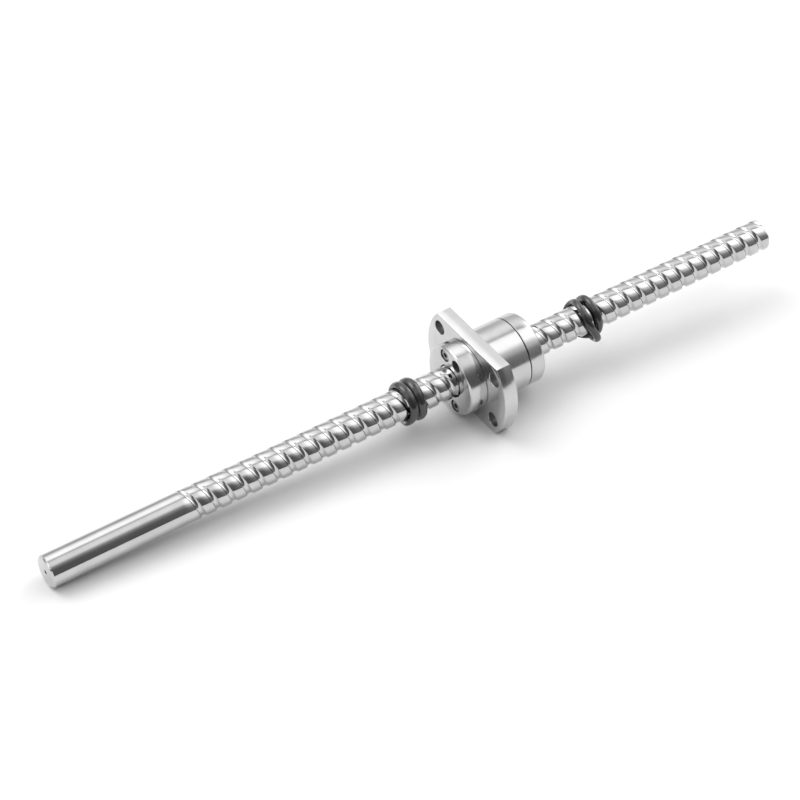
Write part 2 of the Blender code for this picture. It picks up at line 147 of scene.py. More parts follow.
def turned_mesh(name, profile, sides=ROUND):
    """A closed profile of (x, radius) points spun about the X axis."""
    bm = bmesh.new()
    loops = []
    for x, radius in profile:
        loops.append([bm.verts.new(polar(x, radius, TURN * k / sides)) for k in range(sides)])
    join_loops(bm, loops + [loops[0]], closed_ends=False)
    return to_mesh(name, bm)


def sweep_mesh(name, points, half_x, half_r, sides=20):
    """A closed strand round the X axis with an oval section: half_x wide along X, half_r thick."""
    bm = bmesh.new()
    loops = []
    count = len(points)
    for k, point in enumerate(points):
        tangent = (points[(k + 1) % count] - points[k - 1]).normalized()
        outward = Vector((0, point.y, point.z)).normalized()
        outward = (outward - tangent * outward.dot(tangent)).normalized()
        sideways = tangent.cross(outward)
        loop = []
        for n in range(sides):
            angle = TURN * n / sides
            offset = sideways * (half_x * math.cos(angle)) + outward * (half_r * math.sin(angle))
            loop.append(bm.verts.new(point + offset))
        loops.append(loop)
    join_loops(bm, loops + [loops[0]], closed_ends=False)
    return to_mesh(name, bm)


def tube_mesh(name, points, radius, sides=16):
    """A closed round tube along a closed line of points, with its section carried along without twist."""
    bm = bmesh.new()
    count = len(points)
    tangents = [(points[(k + 1) % count] - points[k - 1]).normalized() for k in range(count)]
    side = tangents[0].orthogonal().normalized()
    sides_along = []
    for tangent in tangents:
        side = (side - tangent * side.dot(tangent)).normalized()
        sides_along.append(side)
    closing = (side - tangents[0] * side.dot(tangents[0])).normalized()
    forward = closing.cross(sides_along[0]).dot(tangents[0]) > 0
    twist = sides_along[0].angle(closing) * (1 if forward else -1)
    loops = []
    for k, (point, tangent, first) in enumerate(zip(points, tangents, sides_along)):
        spun = Matrix.Rotation(twist * k / count, 3, tangent) @ first
        other = tangent.cross(spun)
        loop = []
        for n in range(sides):
            angle = TURN * n / sides
            loop.append(bm.verts.new(point + (spun * math.cos(angle) + other * math.sin(angle)) * radius))
        loops.append(loop)
    join_loops(bm, loops + [loops[0]], closed_ends=False)
    return to_mesh(name, bm)


def boolean(mesh, other, operation="DIFFERENCE"):
    """mesh with other cut from it or joined to it, as a new mesh; both inputs are used up."""
    item = link("boolean_target", mesh)
    tool = link("boolean_tool", other)
    modifier = item.modifiers.new("boolean", "BOOLEAN")
    modifier.operation = operation
    modifier.solver = "EXACT"
    modifier.object = tool
    graph = bpy.context.evaluated_depsgraph_get()
    result = bpy.data.meshes.new_from_object(item.evaluated_get(graph))
    bpy.data.objects.remove(item, do_unlink=True)
    bpy.data.objects.remove(tool, do_unlink=True)
    return result


def drilled(mesh, x_open, x_end, radius, y, z, sides=48, lip=0.12 * MM, through=False):
    """mesh with a round hole along X from its open end, with a small chamfer at each mouth."""
    way = 1 if x_end > x_open else -1
    rings = [(x_open - way * lip * 3, radius + lip * 4), (x_open + way * lip, radius)]
    if through:
        rings += [(x_end - way * lip, radius), (x_end + way * lip * 3, radius + lip * 4)]
    else:
        rings += [(x_end - way * EDGE, radius), (x_end, radius - EDGE)]
    return boolean(mesh, bar_mesh("drill", rings, sides, (y, z)))


def shade(mesh, angle=28):
    mesh.shade_smooth()
    mesh.set_sharp_from_angle(angle=math.radians(angle))


def place(name, mesh, look, body, *nodes):
    """A finished piece: it rides on its body, stands for its CAD nodes, which it hides, and takes the given
    material.
    """
    mesh.name = name
    mesh.materials.clear()
    mesh.materials.append(look)
    shade(mesh)
    item = link(name, mesh)
    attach(item, body)
    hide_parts(*nodes)
    return item


# ---------------------------------------------------------------- materials
class Nodes:
    """A small helper that adds shader nodes and links them."""

    def __init__(self, tree):
        self.tree = tree

    def add(self, kind, **settings):
        node = self.tree.nodes.new(kind)
        for key, value in settings.items():
            setattr(node, key, value)
        return node

    def link(self, source, target):
        self.tree.links.new(source, target)

    def math(self, operation, first, second=None):
        node = self.add("ShaderNodeMath", operation=operation)
        for socket, value in zip(node.inputs, (first, second)):
            if value is None:
                continue
            if isinstance(value, (int, float)):
                socket.default_value = value
            else:
                self.link(value, socket)
        return node.outputs[0]

    def noise(self, vector, scale, detail=3.0, roughness=0.55):
        node = self.add("ShaderNodeTexNoise")
        node.inputs["Scale"].default_value = scale
        node.inputs["Detail"].default_value = detail
        node.inputs["Roughness"].default_value = roughness
        self.link(vector, node.inputs["Vector"])
        return node.outputs["Fac"]

    def spread(self, value, low, high, from_low=0.3, from_high=0.7):
        node = self.add("ShaderNodeMapRange")
        limits = {"From Min": from_low, "From Max": from_high, "To Min": low, "To Max": high}
        for name, number in limits.items():
            node.inputs[name].default_value = number
        self.link(value, node.inputs["Value"])
        return node.outputs[0]

    def vector(self, x, y, z):
        node = self.add("ShaderNodeCombineXYZ")
        for socket, value in zip(node.inputs, (x, y, z)):
            if isinstance(value, (int, float)):
                socket.default_value = value
            else:
                self.link(value, socket)
        return node.outputs[0]


def new_material(name):
    material = bpy.data.materials.new(name)
    material.use_nodes = True
    tree = material.node_tree
    shader = tree.nodes["Principled BSDF"]
    return material, Nodes(tree), shader


def position(nodes):
    coordinates = nodes.add("ShaderNodeTexCoord")
    split = nodes.add("ShaderNodeSeparateXYZ")
    nodes.link(coordinates.outputs["Object"], split.inputs[0])
    return coordinates, split


def bump(nodes, shader, height, strength, distance):
    node = nodes.add("ShaderNodeBump")
    node.inputs["Strength"].default_value = strength
    node.inputs["Distance"].default_value = distance
    nodes.link(height, node.inputs["Height"])
    nodes.link(node.outputs[0], shader.inputs["Normal"])


def hole_walls(nodes, y, z, half_y, half_z, radius):
    """1 in the four holes at (+-half_y, +-half_z), 0 outside them."""
    away = []
    for value, half in ((y, half_y), (z, half_z)):
        away.append(nodes.math("SUBTRACT", nodes.math("ABSOLUTE", value), half))
    distance = nodes.math("SQRT", nodes.math("ADD", *(nodes.math("MULTIPLY", d, d) for d in away)))
    return nodes.spread(distance, 1.0, 0.0, radius, radius + HOLE_BORDER)


HOLE_BORDER = 0.05 * MM
HOLE_SHADE_TONE = 0.42                     # share of the steel's tone kept on the walls of holes: painted shade inside the holes
HOLE_ROUGHNESS = 0.3                 # added to the steel's roughness there


def steel(name, tone, roughness, line_depth, lines=5200, smudge=0.25, holes=None):
    """Ground steel: fine lines run round the axis on turned faces and in rings on the end faces.

    holes is (half_y, half_z, radius) of four drilled holes, whose walls are rougher and carry painted shade:
    a dimmer tone standing in for the shadow inside the holes.
    """
    material, nodes, shader = new_material(name)
    shader.inputs["Metallic"].default_value = 1.0
    coordinates, split = position(nodes)
    x, y, z = split.outputs
    squares = [nodes.math("MULTIPLY", value, value) for value in (y, z)]
    radius = nodes.math("SQRT", nodes.math("ADD", *squares))
    angle = nodes.math("ARCTAN2", z, y)
    scales = ((x, lines), (radius, lines), (angle, 0.6))
    round_lines = nodes.vector(*(nodes.math("MULTIPLY", value, scale) for value, scale in scales))
    fine = nodes.noise(round_lines, 1.0, 2.0)
    patches = nodes.noise(coordinates.outputs["Object"], 170.0, 4.0)
    specks = nodes.noise(coordinates.outputs["Object"], 2600.0, 2.0)

    worn = nodes.math("ADD", nodes.math("MULTIPLY", fine, 0.4), nodes.math("MULTIPLY", patches, 0.6))
    rough = nodes.spread(worn, roughness * (1 - smudge), roughness * (1 + smudge))

    colour = nodes.add("ShaderNodeMix", data_type="RGBA")
    colour.inputs["A"].default_value = (*(tone * 0.94 for _ in range(3)), 1)
    colour.inputs["B"].default_value = (*(tone * 1.05 for _ in range(3)), 1)
    nodes.link(nodes.spread(patches, 0.0, 1.0), colour.inputs["Factor"])
    surface = colour.outputs["Result"]
    if holes:
        walls = hole_walls(nodes, y, z, *holes)
        rough = nodes.math("ADD", rough, nodes.math("MULTIPLY", walls, HOLE_ROUGHNESS))
        # painted shade: the walls of the drilled holes get a dimmed tone, standing in for the shadow inside
        # them
        painted_hole_shade = nodes.add("ShaderNodeMix", data_type="RGBA")
        painted_hole_shade.inputs["B"].default_value = (*(tone * HOLE_SHADE_TONE for _ in range(3)), 1)
        nodes.link(walls, painted_hole_shade.inputs["Factor"])
        nodes.link(surface, painted_hole_shade.inputs["A"])
        surface = painted_hole_shade.outputs["Result"]
    nodes.link(surface, shader.inputs["Base Color"])
    nodes.link(rough, shader.inputs["Roughness"])

    height = nodes.math("ADD", fine, nodes.math("MULTIPLY", specks, 0.3))
    bump(nodes, shader, height, 0.35, line_depth)
    return material


def rubber(name):
    material, nodes, shader = new_material(name)
    coordinates, _ = position(nodes)
    grain = nodes.noise(coordinates.outputs["Object"], 2200.0, 4.0, 0.6)
    patches = nodes.noise(coordinates.outputs["Object"], 260.0, 3.0)
    colour = nodes.add("ShaderNodeMix", data_type="RGBA")
    colour.inputs["A"].default_value = (0.016, 0.016, 0.0165, 1)
    colour.inputs["B"].default_value = (0.028, 0.028, 0.029, 1)
    nodes.link(nodes.spread(patches, 0.0, 1.0), colour.inputs["Factor"])
    nodes.link(colour.outputs["Result"], shader.inputs["Base Color"])
    nodes.link(nodes.spread(grain, 0.3, 0.42), shader.inputs["Roughness"])
    shader.inputs["Specular IOR Level"].default_value = 0.1
    shader.inputs["Coat Weight"].default_value = 1.0
    shader.inputs["Coat IOR"].default_value = 1.65
    shader.inputs["Coat Roughness"].default_value = 0.035
    bump(nodes, shader, grain, 0.15, 0.00002)
    return material


def oxide_steel(name):
    """Black oxide on the cap screws, rubbed brighter in patches."""
    material, nodes, shader = new_material(name)
    shader.inputs["Metallic"].default_value = 1.0
    coordinates, _ = position(nodes)
    patches = nodes.noise(coordinates.outputs["Object"], 900.0, 4.0)
    colour = nodes.add("ShaderNodeMix", data_type="RGBA")
    colour.inputs["A"].default_value = (0.22, 0.22, 0.225, 1)
    colour.inputs["B"].default_value = (0.42, 0.42, 0.425, 1)
    nodes.link(nodes.spread(patches, 0.0, 1.0, 0.4, 0.75), colour.inputs["Factor"])
    nodes.link(colour.outputs["Result"], shader.inputs["Base Color"])
    nodes.link(nodes.spread(patches, 0.42, 0.3), shader.inputs["Roughness"])
    bump(nodes, shader, nodes.noise(coordinates.outputs["Object"], 5200.0, 2.0), 0.2, 0.00002)
    return material


def felt(name):
    material, nodes, shader = new_material(name)
    coordinates, _ = position(nodes)
    fibres = nodes.noise(coordinates.outputs["Object"], 4200.0, 5.0, 0.7)
    colour = nodes.add("ShaderNodeMix", data_type="RGBA")
    colour.inputs["A"].default_value = (0.03, 0.03, 0.03, 1)
    colour.inputs["B"].default_value = (0.10, 0.10, 0.10, 1)
    nodes.link(nodes.spread(fibres, 0.0, 1.0), colour.inputs["Factor"])
    nodes.link(colour.outputs["Result"], shader.inputs["Base Color"])
    shader.inputs["Roughness"].default_value = 0.95
    bump(nodes, shader, fibres, 0.6, 0.0001)
    return material


def polished_steel(name):
    material, nodes, shader = new_material(name)
    shader.inputs["Metallic"].default_value = 1.0
    coordinates, _ = position(nodes)
    haze = nodes.noise(coordinates.outputs["Object"], 700.0, 3.0)
    colour = nodes.add("ShaderNodeMix", data_type="RGBA")
    colour.inputs["A"].default_value = (0.70, 0.70, 0.71, 1)
    colour.inputs["B"].default_value = (0.78, 0.78, 0.79, 1)
    nodes.link(haze, colour.inputs["Factor"])
    nodes.link(colour.outputs["Result"], shader.inputs["Base Color"])
    nodes.link(nodes.spread(haze, 0.05, 0.1), shader.inputs["Roughness"])
    return material


SCREW_STEEL = steel("screw_steel", 0.57, 0.09, 0.000008)
# hole places whose walls get painted shade in the steels: the bolt holes in the flange, and the counterbores
# and plain holes in the caps
BOLT_HOLES = (BOLT_HALF_Y, BOLT_HALF_Z, BOLT_HOLE_RADIUS)
COUNTERBORES = (
    SCREW_CIRCLE * math.cos(CAP_SCREW_ANGLES[0]), SCREW_CIRCLE * math.sin(CAP_SCREW_ANGLES[0]),
    COUNTERBORE_RADIUS,
)
NUT_STEEL = steel("nut_steel", 0.57, 0.17, 0.00002, lines=3800, holes=BOLT_HOLES)
CAP_STEEL = steel("cap_steel", 0.56, 0.17, 0.00002, lines=3800, holes=COUNTERBORES)
BALL_STEEL = polished_steel("ball_steel")
SCREW_OXIDE = oxide_steel("cap_screw_steel")
BAND_RUBBER = rubber("band_rubber")
SEAL_RUBBER = rubber("seal_rubber")
WIPER_FELT = felt("wiper_felt")


# ---------------------------------------------------------------- screw
def groove_profile(facets=12):
    """(offset along X, depth) across one groove, with a small round at each edge."""
    lead_slope = math.atan(LEAD / (TURN * BALL_CIRCLE))
    half_angle = math.acos((BALL_CIRCLE - screw_radius) / GROOVE_RADIUS)
    points = []
    for k in range(facets + 1):
        angle = half_angle * 0.96 * (2 * k / facets - 1)
        offset = GROOVE_RADIUS * math.sin(angle) / math.cos(lead_slope)
        points.append((offset, screw_radius - (BALL_CIRCLE - GROOVE_RADIUS * math.cos(angle))))
    edge = points[-1][0]
    rim = [(edge + GROOVE_EDGE * 0.45, points[-1][1] * 0.3), (edge + GROOVE_EDGE * 1.5, 0.0)]
    return [(-offset, depth) for offset, depth in reversed(rim)] + points + rim


ON_PLANE = 0.001 * MM                # points this near a plane count as lying on it


def square_end(bm, x, side):
    """Cut the open tube square at x and return the edges of the new rim."""
    everything = list(bm.verts) + list(bm.edges) + list(bm.faces)
    bmesh.ops.bisect_plane(
        bm, geom=everything, dist=1e-7, plane_co=(x, 0, 0), plane_no=(side, 0, 0), clear_outer=True
    )
    rim = (edge for edge in bm.edges if edge.is_boundary)
    return [edge for edge in rim if all(abs(vert.co.x - x) < ON_PLANE for vert in edge.verts)]


def run_end(bm, rim, rings):
    """Carry a rim through rings of (x, greatest radius) and close it."""
    for x, radius in rings:
        grown = bmesh.ops.extrude_edge_only(bm, edges=rim)["geom"]
        for vert in (g for g in grown if isinstance(g, bmesh.types.BMVert)):
            scale = min(1.0, radius / max(math.hypot(vert.co.y, vert.co.z), 1e-9))
            vert.co = (x, vert.co.y * scale, vert.co.z * scale)
        rim = [g for g in grown if isinstance(g, bmesh.types.BMEdge) and g.is_boundary]
    bmesh.ops.edgeloop_fill(bm, edges=rim)


def screw_mesh(segments=72):
    """The two-start grooved surface in strips that follow the helix, with finished ends."""
    columns = []
    for start in range(STARTS):
        for offset, depth in groove_profile():
            columns.append((start * GROOVE_PITCH, offset, depth))
    first_x = GROOVE_X0 + GROOVE_PITCH * math.floor((JOURNAL_END - LEAD - GROOVE_X0) / GROOVE_PITCH)
    steps = (math.ceil((screw_end - first_x) / LEAD) + 1) * segments
    bm = bmesh.new()
    rows = []
    for i in range(steps + 1):
        row = []
        for start_x, offset, depth in columns:
            centre = first_x + start_x + LEAD * i / segments
            fade = smooth_step((centre - JOURNAL_END) / RUN_IN)
            x = centre + offset * (RUN_IN_WIDTH + (1 - RUN_IN_WIDTH) * fade)
            row.append(bm.verts.new(polar(x, screw_radius - depth * fade, TURN * i / segments)))
        rows.append(row)
    for i in range(steps):
        row, following = rows[i], rows[i + 1]
        for k in range(len(columns) - 1):
            bm.faces.new((row[k], row[k + 1], following[k + 1], following[k]))
        if i + 1 + segments <= steps:
            bm.faces.new((row[-1], rows[i + segments][0], rows[i + 1 + segments][0], following[-1]))

    chamfer = SCREW_END_CHAMFER
    rim = square_end(bm, JOURNAL_END, -1)
    hole = CENTRE_HOLE_RADIUS
    run_end(bm, rim, (
        (screw_start + chamfer * 1.1, screw_radius), (screw_start + chamfer, screw_radius - 0.05 * MM),
        (screw_start + 0.05 * MM, screw_radius - chamfer),
        (screw_start, screw_radius - chamfer - 0.08 * MM),
        (screw_start, hole + 0.12 * MM), (screw_start + 0.12 * MM, hole),
        (screw_start + 1.8 * MM, hole), (screw_start + 2.3 * MM, 0.12 * MM),
    ))
    thread_rim = square_end(bm, screw_end - 0.25 * MM, 1)
    run_end(bm, thread_rim, (
        (screw_end - 0.03 * MM, screw_radius - 0.2 * MM), (screw_end, screw_radius - 0.27 * MM),
    ))
    return to_mesh("screw_shaft", bm)


screw_low, screw_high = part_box("screw_shaft")
screw_start, screw_end = screw_low.x, screw_high.x
screw_radius = (screw_high.z - screw_low.z) / 2
place("screw", screw_mesh(), SCREW_STEEL, "screw", "screw_shaft")


# ---------------------------------------------------------------- ball circuits
def helix_x(angle, start):
    return GROOVE_X0 + start * GROOVE_PITCH + LEAD * angle / TURN


def helix_angle(x, start):
    return TURN * (x - GROOVE_X0 - start * GROOVE_PITCH) / LEAD


def nearest_turn(angle, target):
    return angle + TURN * round((target - angle) / TURN)


def corner(before, middle, after, steps=10):
    first = middle + (before - middle).normalized() * CORNER_REACH
    last = middle + (after - middle).normalized() * CORNER_REACH
    points = []
    for k in range(steps + 1):
        t = k / steps
        points.append(first * (1 - t) ** 2 + middle * 2 * t * (1 - t) + last * t ** 2)
    return points


def circuit_points(start, segments=64):
    """One ball circuit as a closed line: along the groove, out to the return hole, and back."""
    return_angle = RETURN_ANGLE + start * math.pi
    lift = math.acos(BALL_CIRCLE / RETURN_RADIUS)
    front = nearest_turn(return_angle + lift, helix_angle(flange_front, start) - FRONT_OVERRUN)
    rear = nearest_turn(return_angle - lift, helix_angle(body_end, start) + REAR_OVERRUN)
    steps = math.ceil((rear - front) / TURN * segments)
    points = []
    for k in range(steps + 1):
        angle = front + (rear - front) * k / steps
        points.append(polar(helix_x(angle, start), BALL_CIRCLE, angle))
    rise = LEAD / (TURN * BALL_CIRCLE) * RETURN_RADIUS * math.sin(lift) * RISE_SHARE
    rear_turn = polar(points[-1].x + rise, RETURN_RADIUS, rear + lift)
    front_turn = polar(points[0].x - rise, RETURN_RADIUS, front - lift)
    points += corner(points[-1], rear_turn, Vector((front_turn.x, rear_turn.y, rear_turn.z)))
    points += corner(points[-1], front_turn, points[0])
    return points


def cut_circuits(mesh):
    for start in range(STARTS):
        mesh = boolean(mesh, tube_mesh("circuit", circuit_points(start), GROOVE_RADIUS + CIRCUIT_CLEARANCE))
    return mesh


def ball_meshes():
    for node in sorted(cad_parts):
        if not node.startswith("ball_"):
            continue
        low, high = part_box(node)
        bm = bmesh.new()
        bmesh.ops.create_icosphere(
            bm, subdivisions=4, radius=BALL_RADIUS, matrix=Matrix.Translation((low + high) / 2))
        place(node.replace("ball_", "steel_ball_"), to_mesh(node, bm), BALL_STEEL, "nut", node)


# ---------------------------------------------------------------- nut body
def flange_mesh():
    """A disc with two flats and softened edges."""
    bm = bmesh.new()
    arc_steps = 48
    edge = FLANGE_EDGE
    sections = (
        (flange_front, edge), (flange_front + 0.3 * edge, 0.3 * edge), (flange_front + edge, 0),
        (flange_back - edge, 0), (flange_back - 0.3 * edge, 0.3 * edge), (flange_back, edge),
    )
    loops = []
    for x, inset in sections:
        radius, half_width = flange_radius - inset, flange_half - inset
        reach = math.asin(half_width / radius)
        loop = []
        for side in (0, math.pi):
            for k in range(arc_steps + 1):
                loop.append(bm.verts.new(polar(x, radius, side + reach * (2 * k / arc_steps - 1))))
        loops.append(loop)
    join_loops(bm, loops)
    return to_mesh("flange", bm)


def nut_mesh():
    barrel = bar_mesh("barrel", (
        ((flange_front + flange_back) / 2, nut_radius), (body_end - EDGE, nut_radius),
        (body_end, nut_radius - EDGE),
    ))
    mesh = boolean(flange_mesh(), barrel, "UNION")
    mesh = boolean(mesh, bar_mesh("bore", (
        (flange_front - MM, BORE_RADIUS), (body_end + MM, BORE_RADIUS),
    ), 96))
    mesh = cut_circuits(mesh)
    for y in (-BOLT_HALF_Y, BOLT_HALF_Y):
        for z in (-BOLT_HALF_Z, BOLT_HALF_Z):
            mesh = drilled(mesh, flange_front, flange_back, BOLT_HOLE_RADIUS, y, z, 64, through=True)
    for angle in CAP_SCREW_ANGLES:
        y, z = SCREW_CIRCLE * math.cos(angle), SCREW_CIRCLE * math.sin(angle)
        for face, way in ((flange_front, 1), (body_end, -1)):
            mesh = drilled(mesh, face, face + way * TAPPED_DEPTH, SHANK_RADIUS + TAPPED_CLEARANCE, y, z, 32)
    return mesh


# ---------------------------------------------------------------- end caps
def cap_holes(mesh, face, back):
    """Counterbored screw holes from the cap's outer face through to its joint face."""
    way = 1 if back > face else -1
    for angle in CAP_SCREW_ANGLES:
        y, z = SCREW_CIRCLE * math.cos(angle), SCREW_CIRCLE * math.sin(angle)
        mesh = drilled(mesh, face, back, SHANK_RADIUS + SHANK_CLEARANCE, y, z, 32, through=True)
        mesh = drilled(mesh, face, face + way * COUNTERBORE_DEPTH, COUNTERBORE_RADIUS, y, z)
    return mesh


def wiper_seat(node):
    low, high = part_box(node)
    reach = (high.z - low.z) / 2 + EDGE
    return (
        (high.x + EDGE, CAP_BORE_RADIUS), (high.x + EDGE, reach),
        (low.x - EDGE, reach), (low.x - EDGE, CAP_BORE_RADIUS),
    )


def front_cap_mesh():
    low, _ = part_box("front_end_cap")
    a, b = low.x, flange_front - 0.06 * MM
    r = nut_radius
    mesh = turned_mesh("front_cap", (
        (a, CAP_BORE_RADIUS + 0.15 * MM), (a, r - 0.62 * MM), (a + 0.08 * MM, r - 0.46 * MM),
        (a + 0.46 * MM, r - 0.08 * MM), (a + 0.62 * MM, r),
        (b - 0.12 * MM, r), (b, r - 0.12 * MM), (b, CAP_BORE_RADIUS),
        *wiper_seat("front_wiper"), (a + 0.15 * MM, CAP_BORE_RADIUS),
    ))
    mesh = cut_circuits(mesh)
    mesh = cap_holes(mesh, a, b)
    for angle in PLAIN_HOLE_ANGLES:
        y, z = SCREW_CIRCLE * math.cos(angle), SCREW_CIRCLE * math.sin(angle)
        mesh = drilled(mesh, a, a + PLAIN_HOLE_DEPTH, PLAIN_HOLE_RADIUS, y, z)
    return mesh


def rear_cap_mesh():
    low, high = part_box("rear_end_cap")
    a, b = low.x, high.x
    r = nut_radius
    seal_low, seal_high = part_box("body_seal_ring")
    seal_outer = (seal_high.z - seal_low.z) / 2 + 0.05 * MM
    seal_inner = seal_outer - 0.55 * MM
    mesh = turned_mesh("rear_cap", (
        (a, CAP_BORE_RADIUS), (a, seal_inner), (seal_high.x + 0.1 * MM, seal_inner),
        (seal_high.x + 0.1 * MM, seal_outer), (a, seal_outer), (a, r - 0.1 * MM), (a + 0.1 * MM, r),
        (b - 0.9 * MM, r), (b - 0.55 * MM, r - 0.1 * MM), (b - 0.25 * MM, r - 0.3 * MM),
        (b - 0.06 * MM, r - 0.6 * MM), (b, r - 0.95 * MM), (b, CAP_BORE_RADIUS + 0.15 * MM),
        (b - 0.15 * MM, CAP_BORE_RADIUS), *wiper_seat("rear_wiper"),
    ))
    mesh = cut_circuits(mesh)
    return cap_holes(mesh, b, a)


def wiper_mesh(node):
    """A felt ring with a lip that closes in on the screw."""
    low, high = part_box(node)
    outer = (high.z - low.z) / 2
    middle = (low.x + high.x) / 2
    lip = screw_radius + 0.08 * MM
    return turned_mesh(node, (
        (low.x, lip + 0.12 * MM), (low.x, outer - 0.05 * MM), (low.x + 0.05 * MM, outer),
        (high.x - 0.05 * MM, outer), (high.x, outer - 0.05 * MM), (high.x, lip + 0.12 * MM),
        (middle + 0.2 * MM, lip), (middle - 0.2 * MM, lip),
    ))


def seal_mesh():
    low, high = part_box("body_seal_ring")
    outer = (high.z - low.z) / 2
    middle, half = (low.x + high.x) / 2, (high.x - low.x) / 2
    thick = 0.2 * MM
    profile = []
    for k in range(12):
        angle = -TURN * k / 12
        profile.append((middle + half * math.cos(angle), outer - thick + thick * math.sin(angle)))
    return turned_mesh("body_seal_ring", profile)


def cap_screw_mesh(node):
    """A socket head cap screw at its CAD place: domed edge, hexagon socket and threaded shank."""
    low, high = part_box(node)
    y, z = (low.y + high.y) / 2, (low.z + high.z) / 2
    front = "front" in node
    head, tip = (low.x, high.x) if front else (high.x, low.x)
    way = 1 if front else -1
    rings = [
        (head, HEAD_RADIUS - 0.22 * MM), (head + way * 0.05 * MM, HEAD_RADIUS - 0.08 * MM),
        (head + way * 0.2 * MM, HEAD_RADIUS), (head + way * HEAD_LENGTH, HEAD_RADIUS),
    ]
    x = head + way * (HEAD_LENGTH + 0.01 * MM)
    while (tip - x) * way > THREAD_PITCH:
        rings += [(x, SHANK_RADIUS - THREAD_DEPTH), (x + way * THREAD_PITCH / 2, SHANK_RADIUS)]
        x += way * THREAD_PITCH
    rings += [(tip - way * 0.15 * MM, SHANK_RADIUS - 0.1 * MM), (tip, SHANK_RADIUS - 0.35 * MM)]
    mesh = bar_mesh(node, rings, 48, (y, z))
    socket = bar_mesh("socket", (
        (head - way * MM, SOCKET_RADIUS), (head + way * SOCKET_DEPTH, SOCKET_RADIUS),
        (head + way * (SOCKET_DEPTH + 0.15 * MM), 0.4 * MM),
    ), 6, (y, z), math.radians(12))
    return boolean(mesh, socket)


flange_low, flange_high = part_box("nut_body")
flange_radius = (flange_high.y - flange_low.y) / 2
flange_half = (flange_high.z - flange_low.z) / 2
flange_front, body_end = flange_low.x, flange_high.x
flange_back = flange_front + FLANGE_THICKNESS
cap_low, cap_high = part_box("front_end_cap")
nut_radius = (cap_high.z - cap_low.z) / 2

place("nut", nut_mesh(), NUT_STEEL, "nut", "nut_body")
place("front_cap", front_cap_mesh(), CAP_STEEL, "nut", "front_end_cap")
place("rear_cap", rear_cap_mesh(), CAP_STEEL, "nut", "rear_end_cap")
place("front_felt", wiper_mesh("front_wiper"), WIPER_FELT, "nut", "front_wiper")
place("rear_felt", wiper_mesh("rear_wiper"), WIPER_FELT, "nut", "rear_wiper")
place("joint_seal", seal_mesh(), SEAL_RUBBER, "carriage", "body_seal_ring")
for screw_node in ("front_cap_screw_1", "front_cap_screw_2", "rear_cap_screw_1", "rear_cap_screw_2"):
    place(screw_node.replace("cap_screw", "socket_screw"), cap_screw_mesh(screw_node), SCREW_OXIDE, "nut",
          screw_node)
ball_meshes()


# ---------------------------------------------------------------- rubber bands
def band_points(centre, spread, over, under, lean_at, leans, steps=240):
    """A band wound twice round the screw: two loops side by side that cross once.

    over and under give the degrees at which each pass leaves its side and reaches the other. leans are the
    shifts of the left and the right loop near lean_at degrees.
    """
    cross = math.radians(sum(over + under) / 4)
    points = []
    for k in range(steps):
        turn = 2 * TURN * k / steps
        first = turn < TURN
        angle = cross - math.pi + turn - (0 if first else TURN)
        start, end = (math.radians(value) for value in (over if first else under))
        crossed = smooth_step((angle - start) / (end - start))
        side = (2 * crossed - 1) * (1 if first else -1)
        lift = BAND_LIFT * math.exp(-((angle - cross) / BAND_LIFT_WIDTH) ** 2) if first else 0.0
        near = math.exp(-(((angle % TURN) - math.radians(lean_at)) / BAND_LEAN_WIDTH) ** 2)
        leaning = near * (leans[0] * (1 - side) + leans[1] * (1 + side)) / 2
        ripple = BAND_RIPPLE * math.sin(2.5 * turn + 0.7)
        points.append(polar(centre + spread * side + leaning + ripple, band_seat + lift, angle))
    return points


BAND_HALF_R = 0.86 * MM
BAND_LIFT = 1.76 * MM
BAND_LIFT_WIDTH = math.radians(39)
BAND_LEAN_WIDTH = math.radians(33)
BAND_RIPPLE = 0.06 * MM
BAND_GAP = 0.03 * MM                 # the rubber stands this far off the screw
band_seat = screw_radius + BAND_HALF_R + BAND_GAP


def place_band(name, node, half_x, beyond, over, under, lean_at, leans):
    """A band at its CAD place. Its strands are half_x wide each way and stand beyond the CAD band's sides."""
    low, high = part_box(node)
    spread = (high.x - low.x) / 2 - half_x + beyond
    points = band_points((low.x + high.x) / 2, spread, over, under, lean_at, leans)
    place(name, sweep_mesh(name, points, half_x, BAND_HALF_R), BAND_RUBBER, "screw", node)


place_band(
    "left_rubber_band", "left_band", 1.42 * MM, 0.57 * MM,
    over=(255, 345), under=(255, 345), lean_at=225, leans=(-0.9 * MM, 0.0))
place_band(
    "right_rubber_band", "right_band", 1.12 * MM, 0.0,
    over=(140, 245), under=(200, 300), lean_at=45, leans=(1.0 * MM, 0.4 * MM))


# ---------------------------------------------------------------- floor, light and camera
FLOOR_TONE = 0.86
FLOOR_SIZE = 4.0
FLOOR_GAP = 0.02 * MM
RAMP_TOP = 2.4                       # ramps hold brightness divided by this
# Brightness by degrees above the back horizon, for directions to the left and to the right.
LEFT_LIGHT = (
    (0, 0.72), (15, 0.70), (22, 0.90), (34, 1.63), (45, 2.11), (60, 2.18), (67, 1.9), (72, 1.2),
    (75, 0.75), (78, 0.75), (80, 1.25), (100, 1.48), (112, 1.28), (120, 0.62), (130, 0.31),
    (142, 0.165), (176, 0.15),
)
RIGHT_LIGHT = (
    (0, 0.91), (15, 0.93), (25, 1.06), (38, 1.45), (50, 1.53), (60, 1.35), (68, 0.9), (71, 0.6),
    (74, 0.6), (77, 2.0), (88, 2.35), (113, 2.35), (120, 1.8), (128, 1.1), (134, 1.0), (140, 0.75),
    (146, 0.45), (155, 0.34), (176, 0.24),
)
LIGHT_BLEND = (0.27, 0.48)           # the directions' X from which and up to which left turns into right
